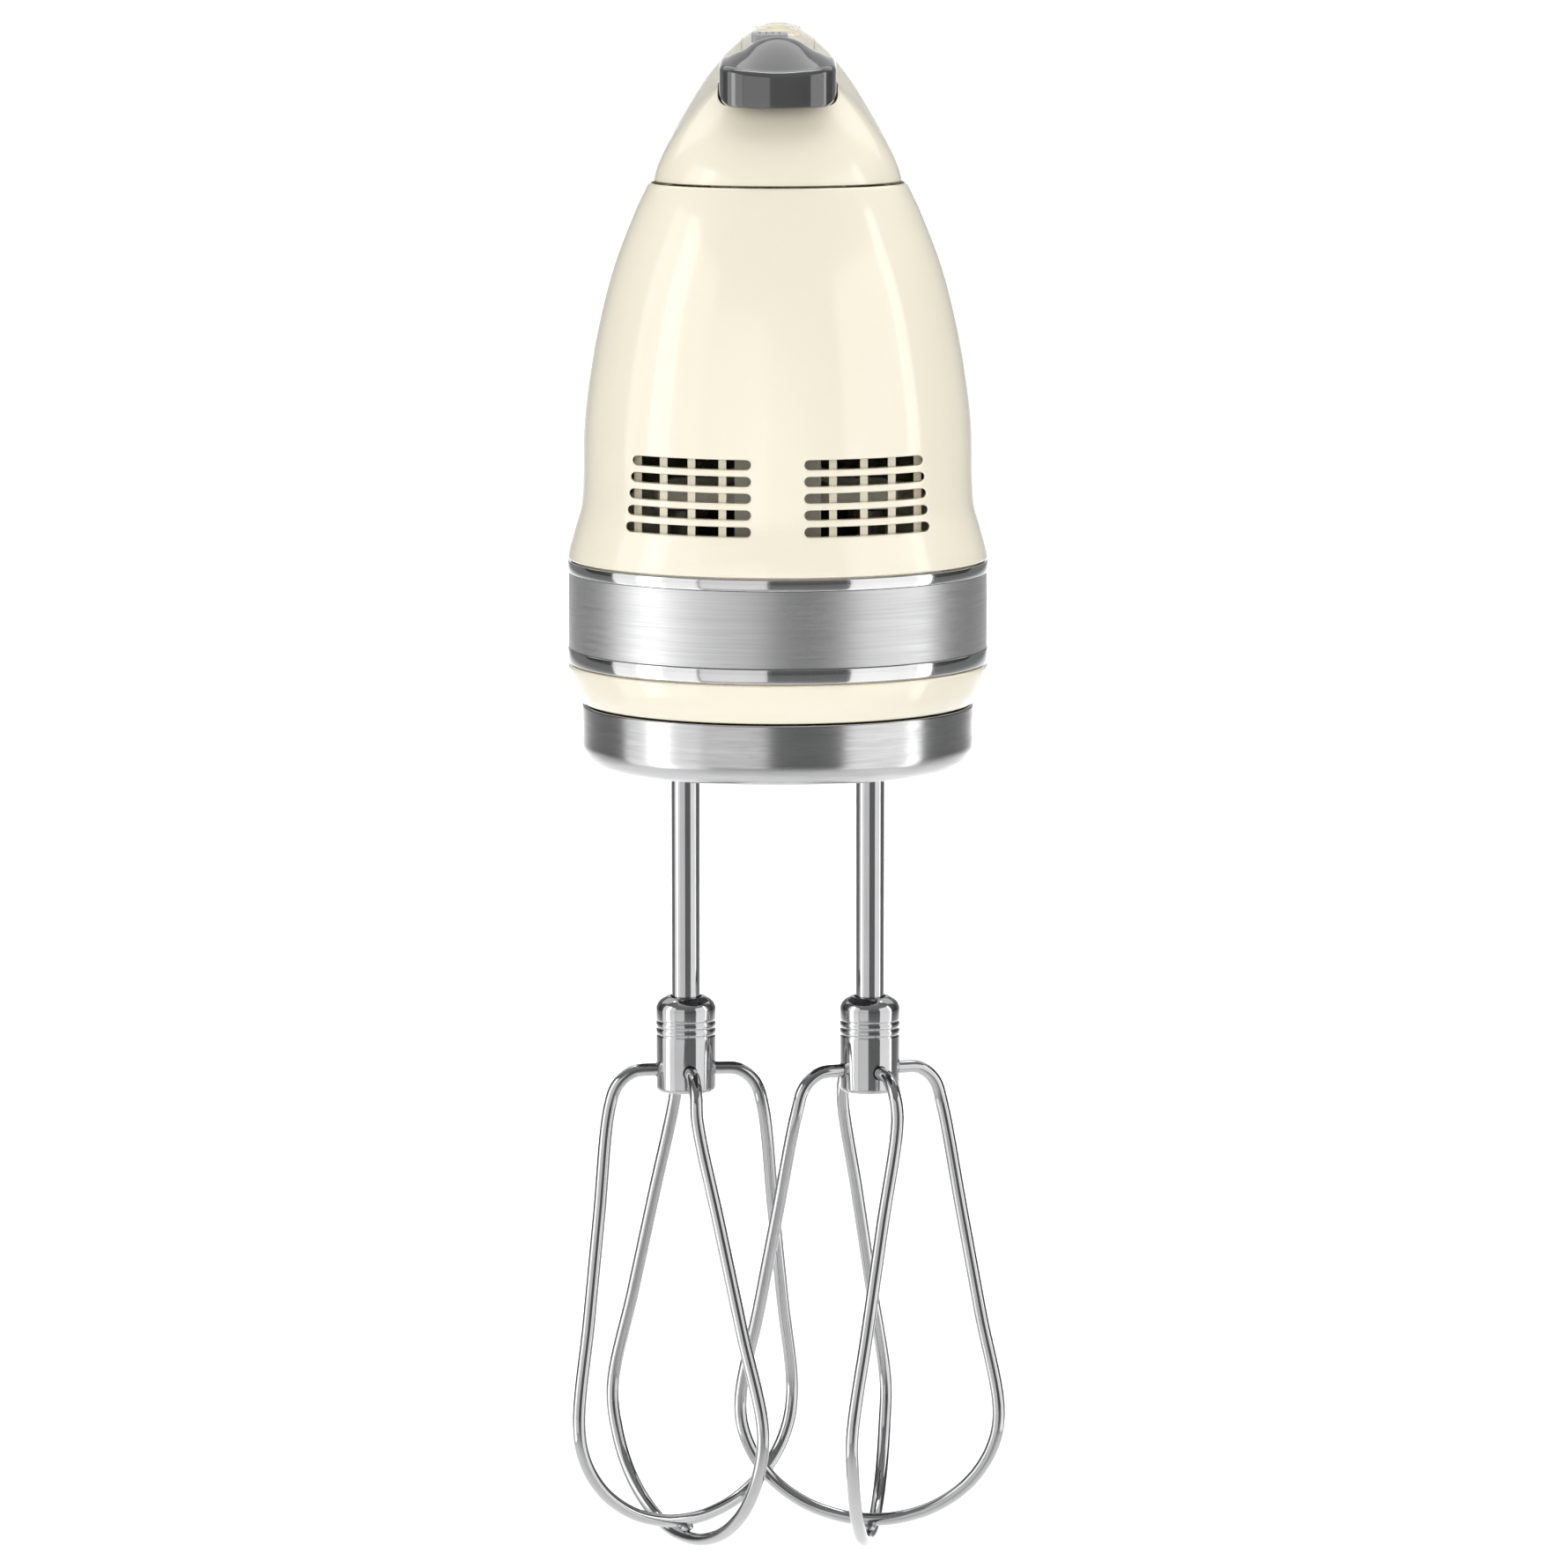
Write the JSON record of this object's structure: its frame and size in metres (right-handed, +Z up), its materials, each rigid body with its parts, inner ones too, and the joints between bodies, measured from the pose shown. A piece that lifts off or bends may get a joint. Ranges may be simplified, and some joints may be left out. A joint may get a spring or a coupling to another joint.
{
  "type": "hand mixer",
  "caption": "Electric hand mixer with a closed handle, vented housing, metal band and base, ejector button and two beaters.",
  "frame": {"origin": "middle of the grip, where a hand holds the mixer", "axes": "+X to the right seen from the front, the front faces -Y, +Z up with the beaters pointing down"},
  "size_m": [0.0931, 0.2043, 0.3245],
  "materials": {
    "cream_gloss": "glossy moulded cream",
    "brushed_band": "brushed along its length, polished rims",
    "satin_skirt": "satin plated",
    "motor_steel": "zinc plated",
    "chrome_wire": "polished",
    "plain_steel": "machined",
    "dark_grey_gloss": "glossy",
    "silver_grey_gloss": "glossy",
    "black_plastic": "moulded",
    "display_window": "polished",
    "grey_rubber": "matt",
    "off_white_frame": "moulded",
    "nylon_natural": "moulded",
    "sintered_bronze": "sintered",
    "copper_winding": "lacquered",
    "ferrite_magnet": "sintered",
    "graphite_brush": "pressed",
    "circuit_board": "lacquered"
  },
  "bodies": {
    "casing": {"upper_cover": "cream_gloss", "main_housing": "cream_gloss", "lower_housing": "cream_gloss", "vent_ribs": "cream_gloss", "control_panel": "cream_gloss", "trim_band": "brushed_band", "base_skirt": "satin_skirt", "motor_can": "motor_steel", "ejector_spring": "plain_steel", "brush_spring_left": "plain_steel", "brush_spring_right": "plain_steel", "base_screw_1": "plain_steel", "base_screw_2": "plain_steel", "base_screw_3": "plain_steel", "base_screw_4": "plain_steel", "base_plate": "black_plastic", "motor_end_cap": "black_plastic", "switch_body": "black_plastic", "speed_display": "display_window", "heel_pad": "grey_rubber", "grip_pad": "grey_rubber", "gearbox_frame": "off_white_frame", "gear_bush_left": "sintered_bronze", "gear_bush_right": "sintered_bronze", "front_bearing": "sintered_bronze", "worm_bearing": "sintered_bronze", "rear_bearing": "sintered_bronze", "brush_holder_left": "sintered_bronze", "brush_holder_right": "sintered_bronze", "magnet_left": "ferrite_magnet", "magnet_right": "ferrite_magnet", "carbon_brush_left": "graphite_brush", "carbon_brush_right": "graphite_brush", "control_board": "circuit_board"},
    "motor_rotor": {"motor_shaft": "plain_steel", "worm": "plain_steel", "armature": "copper_winding", "commutator": "copper_winding", "cooling_fan": "black_plastic"},
    "gear_left": {"drive_gear_left": "nylon_natural"},
    "gear_right": {"drive_gear_right": "nylon_natural"},
    "pusher_left": {"pusher_left": "plain_steel"},
    "pusher_right": {"pusher_right": "plain_steel"},
    "beater_left": {"beater_stem_left": "chrome_wire", "beater_hub_left": "chrome_wire", "beater_loop_a_left": "chrome_wire", "beater_loop_b_left": "chrome_wire"},
    "beater_right": {"beater_stem_right": "chrome_wire", "beater_hub_right": "chrome_wire", "beater_loop_a_right": "chrome_wire", "beater_loop_b_right": "chrome_wire"},
    "ejector": {"ejector_button": "dark_grey_gloss", "ejector_rod": "nylon_natural", "ejector_yoke": "nylon_natural"},
    "power_switch": {"power_switch_knob": "silver_grey_gloss"},
    "speed_up": {"speed_up_button": "cream_gloss"},
    "speed_down": {"speed_down_button": "cream_gloss"},
    "cord_outlet": {"cord_gland": "grey_rubber"}
  },
  "joints": [
    {"name": "motor_spin", "type": "hinge", "parent": "casing", "child": "motor_rotor", "pos_m": [0, -0.078, -0.101], "axis": [0, 1, 0], "continuous": true},
    {"name": "gear_left_spin", "type": "hinge", "parent": "casing", "child": "gear_left", "pos_m": [-0.0196, -0.078, -0.101], "axis": [0, 0, 1], "continuous": true},
    {"name": "gear_right_spin", "type": "hinge", "parent": "casing", "child": "gear_right", "pos_m": [0.0196, -0.078, -0.101], "axis": [0, 0, 1], "continuous": true},
    {"name": "ejector_press", "type": "slide", "parent": "casing", "child": "ejector", "axis": [0, 0, -1], "range_m": [0, 0.005], "stiffness_N_per_m": 600, "springref_m": -0.008, "deforming": ["ejector_spring"]},
    {"name": "pusher_left_slide", "type": "slide", "parent": "gear_left", "child": "pusher_left", "axis": [0, 0, -1], "range_m": [0, 0.005]},
    {"name": "pusher_right_slide", "type": "slide", "parent": "gear_right", "child": "pusher_right", "axis": [0, 0, -1], "range_m": [0, 0.005]},
    {"name": "beater_left_release", "type": "slide", "parent": "pusher_left", "child": "beater_left", "axis": [0, 0, -1], "range_m": [0, 0.036]},
    {"name": "beater_right_release", "type": "slide", "parent": "pusher_right", "child": "beater_right", "axis": [0, 0, -1], "range_m": [0, 0.036]},
    {"name": "power_switch_slide", "type": "slide", "parent": "casing", "child": "power_switch", "axis": [1, 0, 0], "range_m": [0, 0.0035]},
    {"name": "speed_up_press", "type": "slide", "parent": "casing", "child": "speed_up", "axis": [0, 0.0767, -0.9971], "range_m": [0, 0.001], "stiffness_N_per_m": 1500, "springref_m": -0.0005},
    {"name": "speed_down_press", "type": "slide", "parent": "casing", "child": "speed_down", "axis": [0, 0.0767, -0.9971], "range_m": [0, 0.001], "stiffness_N_per_m": 1500, "springref_m": -0.0005},
    {"name": "cord_swivel", "type": "hinge", "parent": "casing", "child": "cord_outlet", "pos_m": [0, 0.072, -0.0867], "axis": [0, 1, 0], "range_deg": [-90, 90]}
  ],
  "couplings": [
    {"joint": "gear_left_spin", "follows": "motor_spin", "ratio": -0.041667},
    {"joint": "gear_right_spin", "follows": "motor_spin", "ratio": 0.041667},
    {"joint": "pusher_left_slide", "follows": "ejector_press", "ratio": 1},
    {"joint": "pusher_right_slide", "follows": "ejector_press", "ratio": 1}
  ]
}
